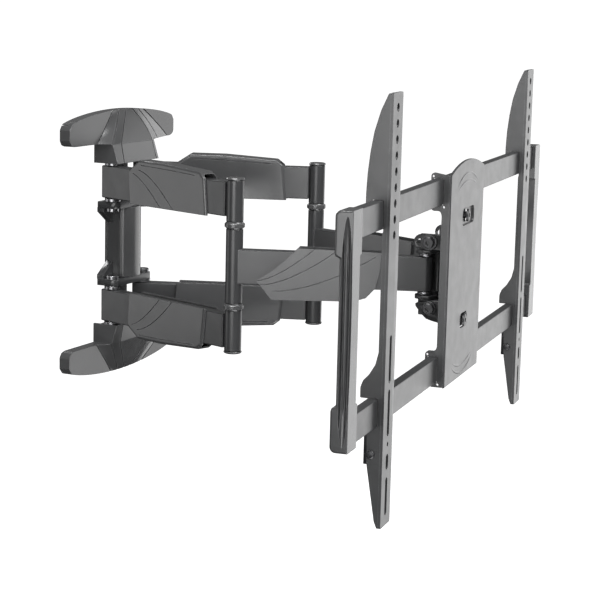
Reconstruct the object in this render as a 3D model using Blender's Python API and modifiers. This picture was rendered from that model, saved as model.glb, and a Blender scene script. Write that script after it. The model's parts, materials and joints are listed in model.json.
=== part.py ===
"""Full-motion wall bracket for a television, with two scissor arms.

Frame: origin on the wall, midway between the arms. +Y points into the wall, -Y towards the screen,
+Z up. The arms are part folded and the screen plate is swivelled a little, as in normal use.
Lengths below are millimetres and are turned into metres by mm().
"""
import math

import bmesh
import bpy
from mathutils import Matrix, Vector

OBJECT_NAME = "tv_wall_mount"
GAP = 0.3                     # clearance between neighbouring pieces
PIN_R = 5.0                   # every vertical hinge pin
BORE_R = PIN_R + GAP
ROUND_STEPS = 16              # sides of a post or a bore
TURN_STEPS = 12               # sides of a pin, a bolt or a small hole

# Linkage, seen from above: four equal links, mirrored left and right
ARM_SPAN = 215.0              # from pivot to pivot, rear and front arms alike
ARM_ANGLE = 19.3              # degrees each arm leans away from straight out
PIVOT_X = 36.0                # wall pivots and screen pivots, either side of the middle
WALL_PIVOT_Y = -21.5
SWIVEL_ANGLE = 6.55           # degrees the screen plate is turned at rest
WRIST_DEPTH = 30.0            # from the screen face back to the line of the screen pivots
HEAD_Z = -1.5                 # the screen plate hangs a little below the arms' middle

# Arms
ARM_H = 39.0
ARM_T = 16.0
ARM_WALL = 1.5
ARM_TAIL = 12.0               # length of a rear arm behind its wall pivot
REAR_Z = 75.0                 # middle of an upper rear arm; the lower one is mirrored
POST_R = 9.7
POST_TOP = 97.0
RING_R = 11.5
RING_LOW = 42.6
RING_HIGH = 50.0
CAP_R = 10.4
CAP_T = 2.6
COVER_T = 22.0                # thickness of an arm cover across the arm
COVER_IN_T = ARM_T + 2 * GAP

# Wall side
PLATE_T = 3.0
PLATE_W = 112.0               # half width of the wall plate's bars
BAR_LOW = 124.0
BAR_HIGH = 146.0
SHELF_W = 43.0
SHELF_FRONT = -31.8
SHELF_IN = (43.0, 51.0)       # heights of a pivot bracket's inner shelf
SHELF_OUT = (99.5, 103.5)     # and of its outer shelf
BRACKET_BACK = -PLATE_T - GAP
COLUMN_W = 20.0
COLUMN_SIDE = -24.0
COLUMN_FRONT = -34.0
COVER_WING = 120.5
COVER_SKIN = 2.5
FAN_W = 49.0
FAN_DEPTH = -35.0
WING_DEPTH = -15.0

# Screen side, in the head's own frame: y = 0 is the screen face, +y is towards the wall
YOKE_IN = 23.5
YOKE_OUT = 27.5
YOKE_R = 12.0
BLOCK_LOW = 28.2
BLOCK_T = 3.0
BLOCK_HIGH = 45.5
BLOCK_W = 42.0
BOLT_R = 4.0
TILT_Y = 25.5                 # tilt axis
TILT_Z = 37.0                 # below the middle; the lock bolts are as far above it
LOCK_Y = 28.0
TILT_DOWN = 8.0
TILT_UP = 2.0
EAR_OUT = 46.5
EAR_T = 3.0
LEVEL_LOW = -55.0             # level pivot bolt
LEVEL_HIGH = 64.0             # level lock bolt
LEVEL_SWING = 3.0
HEAD_PLATE_W = 75.0
HEAD_PLATE_LOW = -118.0
HEAD_PLATE_SIDE = 116.0
HEAD_PLATE_TOP = 128.0
RAIL_Z = 98.0
RAIL_H = 28.0
RAIL_Y = (7.0, 18.0)
RAIL_W = 398.0
RAIL_WALL = 1.5
BRACKET_W = 33.0
BRACKET_T = 2.0
BRACKET_TOP = 215.5
BRACKET_X = (-301.0, 299.0)   # left edges of the two uprights
HOLE_R = 4.3
END_CAP_X = (380.0, 409.0)

MATERIALS = {
    "painted_steel": ((0.060, 0.062, 0.065), 0.45, 0.35),
    "moulded_plastic": ((0.050, 0.051, 0.053), 0.50, 0.0),
    "zinc_steel": ((0.50, 0.50, 0.50), 0.30, 1.0),
    "dark_fastener": ((0.025, 0.025, 0.027), 0.40, 0.6),
}


def mm(value):
    return value * 0.001


# ---------------------------------------------------------------- scene set-up

def clear_scene():
    for obj in list(bpy.data.objects):
        bpy.data.objects.remove(obj, do_unlink=True)


def new_collection(name):
    collection = bpy.data.collections.new(name)
    bpy.context.scene.collection.children.link(collection)
    return collection


def make_material(name):
    colour, roughness, metallic = MATERIALS[name]
    material = bpy.data.materials.new(name)
    material.use_nodes = True
    shader = material.node_tree.nodes["Principled BSDF"]
    shader.inputs["Base Color"].default_value = (*colour, 1.0)
    shader.inputs["Roughness"].default_value = roughness
    shader.inputs["Metallic"].default_value = metallic
    material.diffuse_color = (*colour, 1.0)
    return material


clear_scene()
PARTS = new_collection(OBJECT_NAME)
CUTTERS = new_collection("cutters")
FINISH = {name: make_material(name) for name in MATERIALS}


def pivot(name, x, y, z=0.0, yaw=0.0, parent=None):
    """An empty on a joint's axis; pieces that move with the joint hang from it."""
    empty = bpy.data.objects.new(name, None)
    empty.empty_display_size = 0.02
    empty.parent = parent
    empty.location = (mm(x), mm(y), mm(z))
    empty.rotation_euler = (0.0, 0.0, math.radians(yaw))
    PARTS.objects.link(empty)
    return empty


def add_piece(name, mesh, finish, parent=None, at=(0.0, 0.0, 0.0)):
    obj = bpy.data.objects.new(name, mesh)
    obj.data.materials.append(FINISH[finish])
    obj.parent = parent
    obj.location = tuple(mm(value) for value in at)
    PARTS.objects.link(obj)
    return obj


def add_tool(name, mesh, target):
    """A mesh in the target's own frame that a Boolean modifier on the target uses."""
    tool = bpy.data.objects.new(name, mesh)
    tool.parent = target.parent
    tool.location = target.location
    tool.hide_render = True
    tool.display_type = "WIRE"
    CUTTERS.objects.link(tool)
    return tool


def combine(target, mesh, operation):
    tool = add_tool(target.name + "_tool", mesh, target)
    modifier = target.modifiers.new(operation.title(), "BOOLEAN")
    modifier.operation = operation
    modifier.solver = "EXACT"
    modifier.object = tool


def cut(target, mesh):
    combine(target, mesh, "DIFFERENCE")


def weld_on(target, mesh):
    combine(target, mesh, "UNION")


# ---------------------------------------------------------------- shapes

def box(low, high):
    """A box between two corners."""
    work = bmesh.new()
    bmesh.ops.create_cube(work, size=1.0)
    size = [mm(high[i] - low[i]) for i in range(3)]
    middle = [mm(high[i] + low[i]) / 2 for i in range(3)]
    bmesh.ops.scale(work, vec=size, verts=work.verts)
    bmesh.ops.translate(work, vec=middle, verts=work.verts)
    return finish_mesh(work, "box")


def cylinder(radius, low, high, x=0.0, y=0.0):
    """An upright cylinder."""
    work = bmesh.new()
    half_step = Matrix.Rotation(math.pi / ROUND_STEPS, 4, "Z")
    bmesh.ops.create_cone(work, cap_ends=True, segments=ROUND_STEPS, radius1=mm(radius),
                          radius2=mm(radius), depth=mm(high - low), matrix=half_step)
    bmesh.ops.translate(work, vec=(mm(x), mm(y), mm(high + low) / 2), verts=work.verts)
    return finish_mesh(work, "cylinder")


def finish_mesh(work, name):
    mesh = bpy.data.meshes.new(name)
    work.to_mesh(mesh)
    work.free()
    return mesh


def turned_piece(name, profile, finish, parent, at, axis="Z"):
    """A solid of revolution from (radius, height) points that run from the top down.

    A profile that ends where it starts is a ring; any other starts and ends on the axis.
    """
    work = bmesh.new()
    is_ring = profile[0] == profile[-1]
    points = profile[:-1] if is_ring else profile
    verts = [work.verts.new((mm(radius), 0.0, mm(height))) for radius, height in points]
    followers = verts[1:] + verts[:1] if is_ring else verts[1:]
    for first, second in zip(verts, followers):
        work.edges.new((first, second))
    obj = add_piece(name, finish_mesh(work, name), finish, parent, at)
    if axis == "X":
        obj.rotation_euler = (0.0, math.radians(90.0), 0.0)
    if axis == "-X":
        obj.rotation_euler = (0.0, math.radians(-90.0), 0.0)
    if axis == "-Y":
        obj.rotation_euler = (math.radians(90.0), 0.0, 0.0)
    screw = obj.modifiers.new("Turn", "SCREW")
    screw.steps = TURN_STEPS
    screw.render_steps = TURN_STEPS
    screw.use_merge_vertices = True
    screw.merge_threshold = 0.00001
    return obj


AXES = {
    "XY": Matrix.Identity(4),
    "XZ": Matrix(((1, 0, 0, 0), (0, 0, -1, 0), (0, 1, 0, 0), (0, 0, 0, 1))),
    "YZ": Matrix(((0, 0, 1, 0), (1, 0, 0, 0), (0, 1, 0, 0), (0, 0, 0, 1))),
}


def plate(loops, low, high, plane):
    """A flat outline, with any holes as further loops, given thickness across its plane.

    low and high are heights along the third axis: Z for "XY", Y for "XZ" and X for "YZ".
    """
    curve = bpy.data.curves.new("outline", "CURVE")
    curve.dimensions = "2D"
    curve.fill_mode = "BOTH"
    curve.extrude = mm(high - low) / 2
    for loop in loops:
        spline = curve.splines.new("POLY")
        spline.points.add(len(loop) - 1)
        for point, (first, second) in zip(spline.points, loop):
            point.co = (mm(first), mm(second), 0.0, 1.0)
        spline.use_cyclic_u = True
    holder = bpy.data.objects.new("outline", curve)
    bpy.context.scene.collection.objects.link(holder)
    graph = bpy.context.evaluated_depsgraph_get()
    mesh = bpy.data.meshes.new_from_object(holder.evaluated_get(graph))
    bpy.data.objects.remove(holder)
    offset = mm(low + high) / 2
    if plane == "XZ":
        offset = -offset
    work = bmesh.new()
    work.from_mesh(mesh)
    bpy.data.meshes.remove(mesh)
    bmesh.ops.remove_doubles(work, verts=work.verts, dist=0.00001)
    bmesh.ops.translate(work, vec=(0.0, 0.0, offset), verts=work.verts)
    bmesh.ops.transform(work, matrix=AXES[plane], verts=work.verts)
    bmesh.ops.recalc_face_normals(work, faces=work.faces)
    return finish_mesh(work, "plate")


def arc(x, y, radius, start, end, steps):
    """Points on an arc, angles in degrees."""
    angles = [math.radians(start + (end - start) * i / steps) for i in range(steps + 1)]
    return [(x + radius * math.cos(a), y + radius * math.sin(a)) for a in angles]


def circle(x, y, radius, steps=TURN_STEPS):
    return arc(x, y, radius, 0.0, 360.0, steps)[:-1]


def slot(x, low, high, radius):
    """An upright slot with round ends between two heights."""
    top = arc(x, high - radius, radius, 0.0, 180.0, 4)
    bottom = arc(x, low + radius, radius, 180.0, 360.0, 4)
    return top + bottom


def flat_slot(low, high, z, radius):
    """A level slot with round ends."""
    right = arc(high - radius, z, radius, -90.0, 90.0, 4)
    left = arc(low + radius, z, radius, 90.0, 270.0, 4)
    return right + left


def mirrored(points, about=0.0):
    """The outline reflected in its second coordinate, kept in the same turning sense."""
    return [(first, 2 * about - second) for first, second in reversed(points)]


def rounded_rectangle(low, high, radius):
    corners = ((high[0], high[1], 0.0), (low[0], high[1], 90.0),
               (low[0], low[1], 180.0), (high[0], low[1], 270.0))
    points = []
    for x, y, start in corners:
        inward_x = x - math.copysign(radius, x - (low[0] + high[0]) / 2)
        inward_y = y - math.copysign(radius, y - (low[1] + high[1]) / 2)
        points += arc(inward_x, inward_y, radius, start, start + 90.0, 4)
    return points


# ---------------------------------------------------------------- wall side

def build_wall_plate():
    body = COLUMN_W - 1.0
    outline = [(-PLATE_W, BAR_LOW), (-body, BAR_LOW), (-body, -BAR_LOW), (-PLATE_W, -BAR_LOW),
               (-PLATE_W, -BAR_HIGH), (PLATE_W, -BAR_HIGH), (PLATE_W, -BAR_LOW),
               (body, -BAR_LOW), (body, BAR_LOW), (PLATE_W, BAR_LOW),
               (PLATE_W, BAR_HIGH), (-PLATE_W, BAR_HIGH)]
    bar_middle = (BAR_LOW + BAR_HIGH) / 2
    slots = []
    for height in (bar_middle, -bar_middle):
        slots.append(flat_slot(-100.0, -58.0, height, 4.0))
        slots.append(flat_slot(-14.0, 14.0, height, 4.0))
        slots.append(flat_slot(58.0, 100.0, height, 4.0))
    mesh = plate([outline] + slots, -PLATE_T, 0.0, "XZ")
    add_piece("wall_plate", mesh, "painted_steel")


def shelf_outline(back):
    radius = 9.0
    front_right = arc(SHELF_W - radius, SHELF_FRONT + radius, radius, 0.0, -90.0, 5)
    front_left = arc(radius - SHELF_W, SHELF_FRONT + radius, radius, -90.0, -180.0, 5)
    return [(SHELF_W, back)] + front_right + front_left + [(-SHELF_W, back)]


def build_pivot_bracket(level, sign):
    """Two shelves on a back web; the rear arms turn between the shelves.

    Tapered gussets beside the column stiffen the inner shelf.
    """
    holes = [circle(side * PIVOT_X, WALL_PIVOT_Y, BORE_R, ROUND_STEPS) for side in (-1, 1)]
    loops = [shelf_outline(BRACKET_BACK - 1.0)] + holes
    inner = sorted(sign * height for height in SHELF_IN)
    outer = sorted(sign * height for height in SHELF_OUT)
    bracket = add_piece("pivot_bracket_" + level, plate(loops, inner[0], inner[1], "XY"),
                        "painted_steel")
    weld_on(bracket, plate(loops, outer[0], outer[1], "XY"))
    web = sorted((sign * (SHELF_IN[0] + 0.5), sign * (SHELF_OUT[1] - 0.5)))
    web_w = 25.0
    weld_on(bracket, box((-web_w, BRACKET_BACK - 2.2, web[0]), (web_w, BRACKET_BACK, web[1])))
    for side in (-1, 1):
        near = side * (COLUMN_W + 0.6)
        far = side * (SHELF_W - 0.5)
        shelf = sign * (SHELF_IN[0] + 0.5)
        gusset = [(near, shelf), (near, shelf - sign * 20.0), (far, shelf - sign * 5.0), (far, shelf)]
        weld_on(bracket, plate([gusset], BRACKET_BACK - 9.0, BRACKET_BACK - 0.2, "XZ"))


def build_column_cover():
    """A D-shaped channel, open towards the wall."""
    def half_ellipse(width, side, front):
        angles = [math.pi + math.pi * i / 12 for i in range(13)]
        return [(width * math.cos(a), side + (side - front) * math.sin(a)) for a in angles]

    back = BRACKET_BACK
    outer = half_ellipse(COLUMN_W, COLUMN_SIDE, COLUMN_FRONT)
    inner = half_ellipse(COLUMN_W - COVER_SKIN, COLUMN_SIDE, COLUMN_FRONT + COVER_SKIN)
    outline = [(-COLUMN_W, back)] + outer + [(COLUMN_W, back), (COLUMN_W - COVER_SKIN, back)]
    outline += inner[::-1] + [(COVER_SKIN - COLUMN_W, back)]
    height = SHELF_IN[0] - GAP
    add_piece("column_cover", plate([outline], -height, height, "XY"), "moulded_plastic")


def wing_outline(inset):
    """The wall cover's face: an arched top over two short wings."""
    half = COVER_WING - inset
    low = 121.0 + inset
    shoulder = 149.0 - inset
    crown = 160.0 - inset
    steps = 12
    arch = []
    for i in range(steps + 1):
        x = half - 2 * half * i / steps
        arch.append((x, shoulder + (crown - shoulder) * (1 - (x / half) ** 2)))
    return [(-half, low), (half, low)] + arch


def fan_profile(inset):
    """Side view of the cover's middle, which reaches forward over the outer shelf."""
    back = 5.0 if inset else -2.0
    bottom = 90.0 if inset else 97.5
    shoulder = WING_DEPTH + 1.3 + inset
    return [(back, bottom), (back, 156.5 - inset), (shoulder, 156.5 - inset),
            (FAN_DEPTH + inset, 122.0 - inset / 2), (FAN_DEPTH + inset, bottom)]


def build_wall_cover(level, sign):
    def flip(points):
        return mirrored(points) if sign < 0 else points

    cover = add_piece("wall_cover_" + level, plate([flip(wing_outline(0.0))], WING_DEPTH, -1.0, "XZ"),
                      "moulded_plastic")
    weld_on(cover, plate([flip(fan_profile(0.0))], -FAN_W, FAN_W, "YZ"))
    cut(cover, plate([flip(wing_outline(COVER_SKIN))], WING_DEPTH + COVER_SKIN, 1.0, "XZ"))
    inner_w = FAN_W - COVER_SKIN
    cut(cover, plate([flip(fan_profile(COVER_SKIN))], -inner_w, inner_w, "YZ"))


def build_wall_pin(name, x, sign):
    """A hinge bolt with its head, two spacer collars and nut turned in one."""
    collar = 9.4
    head = 7.5
    arm_low = REAR_Z - ARM_H / 2
    arm_high = REAR_Z + ARM_H / 2
    levels = [(0.0, SHELF_OUT[1] + 4.3), (head, SHELF_OUT[1] + 4.3), (head, SHELF_OUT[1] + GAP),
              (PIN_R, SHELF_OUT[1] + GAP), (PIN_R, SHELF_OUT[0] - GAP),
              (collar, SHELF_OUT[0] - GAP), (collar, arm_high + GAP), (PIN_R, arm_high + GAP),
              (PIN_R, arm_low - GAP), (collar, arm_low - GAP), (collar, SHELF_IN[1] + GAP),
              (PIN_R, SHELF_IN[1] + GAP), (PIN_R, SHELF_IN[0] - GAP), (head, SHELF_IN[0] - GAP),
              (head, SHELF_IN[0] - 4.3), (0.0, SHELF_IN[0] - 4.3)]
    if sign < 0:
        levels = [(radius, -height) for radius, height in reversed(levels)]
    turned_piece(name, levels, "zinc_steel", None, (x, WALL_PIVOT_Y, 0.0))


# ---------------------------------------------------------------- arms

def build_rear_arm(side, level, sign, frame):
    """A square tube with a hinge post at its elbow end; +X runs from the wall to the elbow."""
    middle = sign * REAR_Z
    half_h = ARM_H / 2
    half_t = ARM_T / 2
    arm = add_piece("rear_arm_" + level + "_" + side,
                    box((-ARM_TAIL, -half_t, middle - half_h),
                        (ARM_SPAN - 2.0, half_t, middle + half_h)), "painted_steel", frame)
    post = sorted((sign * (RING_HIGH + GAP), sign * POST_TOP))
    weld_on(arm, cylinder(POST_R, post[0], post[1], ARM_SPAN))
    cut(arm, cylinder(BORE_R, middle - 40.0, middle + 40.0, ARM_SPAN))
    cut(arm, cylinder(BORE_R, middle - 40.0, middle + 40.0))
    inner_t = half_t - ARM_WALL
    inner_h = half_h - ARM_WALL
    cut(arm, box((18.0, -inner_t, middle - inner_h), (190.0, inner_t, middle + inner_h)))
    cable_gap = sorted((middle + sign * (inner_h - 3.0), middle + sign * (half_h + 3.0)))
    cut(arm, box((72.0, 1.0 - inner_t, cable_gap[0]), (148.0, inner_t - 1.0, cable_gap[1])))


def build_rear_cover(side, level, sign, frame):
    """A channel clipped over a rear arm, with room for cables between it and the arm."""
    half_h = ARM_H / 2
    ridge = 31.5
    skin = COVER_SKIN
    outer = [(45.0, -half_h - 2.0), (179.0, -half_h - 2.0), (174.0, 20.0), (165.0, 27.0),
             (102.0, ridge), (58.0, ridge), (42.0, half_h)]
    inner = [(30.0, -40.0), (200.0, -40.0), (200.0, 22.0), (165.0, 27.0 - skin),
             (102.0, ridge - skin), (62.0, ridge - skin), (59.0, half_h + GAP), (30.0, half_h + GAP)]
    middle = sign * REAR_Z
    shapes = []
    for outline in (outer, inner):
        placed = [(along, sign * height + middle) for along, height in outline]
        shapes.append(placed if sign > 0 else placed[::-1])
    cover = add_piece("arm_cover_" + level + "_" + side,
                      plate([shapes[0]], -COVER_T / 2, COVER_T / 2, "XZ"),
                      "moulded_plastic", frame)
    cut(cover, plate([shapes[1]], -COVER_IN_T / 2, COVER_IN_T / 2, "XZ"))


def build_front_arm(side, frame):
    """A square tube between the two rear arms; +X runs from the elbow to the screen pivot."""
    half_h = ARM_H / 2
    half_t = ARM_T / 2
    outline = [(2.0, -half_t)] + arc(ARM_SPAN, 0.0, half_t, -90.0, 90.0, 8) + [(2.0, half_t)]
    arm = add_piece("front_arm_" + side, plate([outline], -half_h, half_h, "XY"),
                    "painted_steel", frame)
    post_half = RING_LOW - GAP
    weld_on(arm, cylinder(POST_R, -post_half, post_half))
    cut(arm, cylinder(BORE_R, -60.0, 60.0))
    cut(arm, cylinder(BORE_R, -60.0, 60.0, ARM_SPAN))
    inner_t = half_t - ARM_WALL
    inner_h = half_h - ARM_WALL
    cut(arm, box((20.0, -inner_t, -inner_h), (200.0, inner_t, inner_h)))
    cut(arm, box((60.0, 1.0 - inner_t, -half_h - 3.0), (130.0, inner_t - 1.0, 3.0 - inner_h)))


def build_front_cover(side, frame):
    """A trough clipped under a front arm, with room for cables below the arm."""
    half_h = ARM_H / 2
    skin = COVER_SKIN
    outer = [(27.0, -14.0), (33.0, -21.0), (44.0, -35.0), (135.0, -32.0), (150.0, -29.0),
             (161.0, -20.0), (165.0, 4.0), (166.0, 22.0), (73.0, 24.0)]
    inner = [(0.0, 40.0), (0.0, -half_h - GAP), (41.0, -half_h - GAP), (46.0, -35.0 + skin),
             (134.0, -32.0 + skin), (147.0, -29.0 + skin), (154.0, -half_h - 2 * GAP),
             (200.0, -half_h - 2 * GAP), (200.0, 40.0)]
    cover = add_piece("front_cover_" + side, plate([outer], -COVER_T / 2, COVER_T / 2, "XZ"),
                      "moulded_plastic", frame)
    cut(cover, plate([inner], -COVER_IN_T / 2, COVER_IN_T / 2, "XZ"))


def build_elbow(side, frame):
    """Pin, two wear rings and two end caps on the elbow axis, at the end of the rear arms."""
    pin_half = POST_TOP - 0.5
    pin = [(0.0, pin_half), (PIN_R, pin_half), (PIN_R, -pin_half), (0.0, -pin_half)]
    turned_piece("elbow_pin_" + side, pin, "zinc_steel", frame, (ARM_SPAN, 0.0, 0.0))
    ring_low = RING_LOW
    ring_high = RING_HIGH
    bevel = 1.5
    for level, sign in (("upper", 1), ("lower", -1)):
        ring = [(BORE_R, ring_high), (RING_R - bevel, ring_high), (RING_R, ring_high - bevel),
                (RING_R, ring_low + bevel), (RING_R - bevel, ring_low), (BORE_R, ring_low),
                (BORE_R, ring_high)]
        cap_low = POST_TOP + GAP
        cap = [(0.0, cap_low + CAP_T), (CAP_R - 1.0, cap_low + CAP_T), (CAP_R, cap_low + CAP_T - 1.0),
               (CAP_R, cap_low), (0.0, cap_low)]
        if sign < 0:
            ring = [(radius, -height) for radius, height in reversed(ring)]
            cap = [(radius, -height) for radius, height in reversed(cap)]
        turned_piece("elbow_ring_" + level + "_" + side, ring, "moulded_plastic", frame,
                     (ARM_SPAN, 0.0, 0.0))
        turned_piece("elbow_cap_" + level + "_" + side, cap, "moulded_plastic", frame,
                     (ARM_SPAN, 0.0, 0.0))


# ---------------------------------------------------------------- yoke and swivel

def build_yoke(frame):
    """Two plates on a central tube; the front arms end between the plates."""
    outline = flat_slot(-PIVOT_X - YOKE_R, PIVOT_X + YOKE_R, 0.0, YOKE_R)
    yoke = add_piece("yoke", plate([outline], YOKE_IN, YOKE_OUT, "XY"), "painted_steel", frame)
    weld_on(yoke, plate([outline], -YOKE_OUT, -YOKE_IN, "XY"))
    weld_on(yoke, cylinder(10.0, 1.0 - YOKE_OUT, YOKE_OUT - 1.0))
    for x in (-PIVOT_X, 0.0, PIVOT_X):
        cut(yoke, cylinder(BORE_R, -60.0, 60.0, x))


def headed_pin(reach, head_r, head_t):
    """Profile of a pin with a head at each end, `reach` from the middle to each head."""
    return [(0.0, reach + head_t), (head_r, reach + head_t), (head_r, reach), (PIN_R, reach),
            (PIN_R, -reach), (head_r, -reach), (head_r, -reach - head_t), (0.0, -reach - head_t)]


def build_wrist_pin(side, x, frame):
    """A screen pivot pin with a spacer collar above and below the arm."""
    arm = ARM_H / 2 + GAP
    plate_in = YOKE_IN - GAP
    collar = 8.5
    half = [(0.0, YOKE_OUT - 0.4), (PIN_R, YOKE_OUT - 0.4), (PIN_R, plate_in),
            (collar, plate_in), (collar, arm), (PIN_R, arm)]
    profile = half + [(radius, -height) for radius, height in reversed(half)]
    turned_piece("wrist_pin_" + side, profile, "zinc_steel", frame, (x, 0.0, 0.0))


def build_swivel_block(level, sign, bolt_y, frame):
    """A channel on the swivel pin, with two lugs that carry the tilt hardware.

    The frame's origin is on the swivel axis; bolt_y is where the bolts cross the lugs.
    """
    back = 10.0
    front = -14.0
    base = sorted((sign * BLOCK_LOW, sign * (BLOCK_LOW + BLOCK_T)))
    block = add_piece("swivel_block_" + level,
                      box((-BLOCK_W, front, base[0]), (BLOCK_W, back, base[1])),
                      "painted_steel", frame)
    lug = sorted((sign * (BLOCK_LOW + 1.0), sign * BLOCK_HIGH))
    for side in (-1, 1):
        edges = sorted((side * (BLOCK_W - 0.3), side * (BLOCK_W - BLOCK_T)))
        weld_on(block, plate([rounded_rectangle((front + 0.4, lug[0]), (back - 0.4, lug[1]), 1.0),
                              circle(bolt_y, sign * TILT_Z, BOLT_R + GAP)],
                             edges[0], edges[1], "YZ"))
    cut(block, cylinder(BORE_R, -60.0, 60.0))


def build_side_bolt(name, side, y, z, washer_r, frame):
    """A bolt across a lug and an ear, its washer and head outside the ear."""
    inside = BLOCK_W - BLOCK_T - GAP
    outside = EAR_OUT + GAP
    head_r = 6.5
    nut_r = 5.4
    profile = [(0.0, outside + 6.5), (head_r - 1.0, outside + 6.5), (head_r, outside + 5.5),
               (head_r, outside + 2.0), (washer_r, outside + 2.0), (washer_r, outside),
               (BOLT_R, outside), (BOLT_R, inside), (nut_r, inside), (nut_r, inside - 4.0),
               (0.0, inside - 4.0)]
    axis = "X" if side > 0 else "-X"
    turned_piece(name, profile, "dark_fastener", frame, (0.0, y, z), axis)


# ---------------------------------------------------------------- tilt, level and plate

def ear_outline():
    """Side view of the tilt bracket's walls, y back from the screen face and z up."""
    lock_end = 46.0
    lock_r = 8.5
    upper = arc(lock_end - lock_r, TILT_Z, lock_r, 90.0, -90.0, 8)
    lower = [(11.0, TILT_Z - lock_r), (9.0, TILT_Z - lock_r - 2.0), (9.0, -28.5), (11.0, -30.0),
             (39.0, -30.6), (42.0, -32.5), (41.5, -35.5), (33.5, -45.0), (29.0, -49.0),
             (22.0, -51.0), (15.0, -52.5), (10.0, -54.0), (4.0, -54.0)]
    return [(4.0, TILT_Z + lock_r)] + upper + lower


def lock_slot():
    """The curved slot that the lock bolt runs in, centred on the tilt axis."""
    reach = 2 * TILT_Z
    rest = math.degrees(math.atan2(reach, LOCK_Y - TILT_Y))
    radius = math.hypot(reach, LOCK_Y - TILT_Y)
    half = BOLT_R + GAP
    margin = 0.4
    start = rest - TILT_DOWN - margin
    end = rest + TILT_UP + margin
    outer = arc(TILT_Y, -TILT_Z, radius + half, start, end, 8)
    inner = arc(TILT_Y, -TILT_Z, radius - half, end, start, 8)

    def round_end(angle, turn):
        x = TILT_Y + radius * math.cos(math.radians(angle))
        y = -TILT_Z + radius * math.sin(math.radians(angle))
        return arc(x, y, half, turn, turn + 180.0, 6)[1:-1]

    return outer + round_end(end, end) + inner + round_end(start, start + 180.0)


def build_tilt_bracket(frame):
    """A channel behind the screen plate: a base and two walls, or ears."""
    base = [(-EAR_OUT, -64.0), (EAR_OUT, -64.0), (EAR_OUT, 47.0), (12.0, 47.0), (12.0, 72.0),
            (-12.0, 72.0), (-12.0, 47.0), (-EAR_OUT, 47.0)]
    holes = [circle(0.0, LEVEL_LOW, BOLT_R + GAP), circle(0.0, LEVEL_HIGH, BOLT_R + GAP)]
    bracket = add_piece("tilt_bracket", plate([base] + holes, 2.9, 5.4, "XZ"), "painted_steel",
                        frame)
    walls = [ear_outline(), lock_slot(), circle(TILT_Y, -TILT_Z, BOLT_R + GAP)]
    for side in (-1, 1):
        edges = sorted((side * (EAR_OUT - 0.3), side * (EAR_OUT - EAR_T)))
        weld_on(bracket, plate(walls, edges[0], edges[1], "YZ"))


def build_level_bolt(name, z, frame):
    """A low-headed bolt through the screen plate and the tilt bracket."""
    plate_front = -1.7
    back = 5.4 + GAP
    profile = [(0.0, 3.0 - plate_front), (5.0, 3.0 - plate_front), (7.0, 1.5 - plate_front),
               (7.0, GAP - plate_front + 0.2), (BOLT_R, GAP - plate_front + 0.2), (BOLT_R, -back),
               (7.0, -back), (7.0, -back - 4.0), (0.0, -back - 4.0)]
    turned_piece(name, profile, "dark_fastener", frame, (0.0, 0.0, z), "-Y")


def build_screen_plate(frame):
    """Front plate with an arched top, and two side flanges that the rails run through."""
    half = HEAD_PLATE_W
    rise = HEAD_PLATE_TOP - HEAD_PLATE_SIDE
    arch_r = (half ** 2 + rise ** 2) / (2 * rise)
    swing = math.degrees(math.asin(half / arch_r))
    arch = arc(0.0, HEAD_PLATE_TOP - arch_r, arch_r, 90.0 - swing, 90.0 + swing, 16)
    outline = [(-half, HEAD_PLATE_LOW), (half, HEAD_PLATE_LOW)] + arch
    level_travel = (LEVEL_HIGH - LEVEL_LOW) * math.tan(math.radians(LEVEL_SWING)) + 1.0
    reach = BOLT_R + GAP + level_travel
    window = flat_slot(-reach, reach, LEVEL_HIGH - HEAD_Z, BOLT_R + GAP + 0.5)
    hole = circle(0.0, LEVEL_LOW - HEAD_Z, BOLT_R + GAP)
    screen_plate = add_piece("screen_plate", plate([outline, window, hole], -2.0, 0.5, "XZ"),
                             "painted_steel", frame)
    ear = 21.0
    neck = 8.0
    flange = [(-1.5, HEAD_PLATE_LOW), (16.0, HEAD_PLATE_LOW), (ear, HEAD_PLATE_LOW + 4.0),
              (ear, -80.0), (18.0, -77.0), (neck + 2.0, -77.0), (neck, -73.0), (neck, 73.0),
              (neck + 2.0, 77.0), (18.0, 77.0), (ear, 80.0), (ear, 116.5), (18.0, 119.0),
              (-1.5, 119.0 - 3.2)]
    windows = []
    for sign in (-1, 1):
        middle = sign * RAIL_Z
        half_h = RAIL_H / 2 + GAP
        low_y = RAIL_Y[0] - GAP
        high_y = RAIL_Y[1] + GAP
        windows.append([(low_y, middle - half_h), (high_y, middle - half_h),
                        (high_y, middle + half_h), (low_y, middle + half_h)])
    for side in (-1, 1):
        edges = sorted((side * (half - 0.2), side * (half - 2.7)))
        weld_on(screen_plate, plate([flange] + windows, edges[0], edges[1], "YZ"))


def build_rail(level, sign, frame):
    middle = sign * RAIL_Z
    half_h = RAIL_H / 2
    rail = add_piece("rail_" + level, box((-RAIL_W, RAIL_Y[0], middle - half_h),
                                          (RAIL_W, RAIL_Y[1], middle + half_h)),
                     "painted_steel", frame)
    inner_h = half_h - RAIL_WALL
    cut(rail, box((-RAIL_W - 5.0, RAIL_Y[0] + RAIL_WALL, middle - inner_h),
                  (RAIL_W + 5.0, RAIL_Y[1] - RAIL_WALL, middle + inner_h)))


# ---------------------------------------------------------------- uprights, latches, end caps

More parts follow.
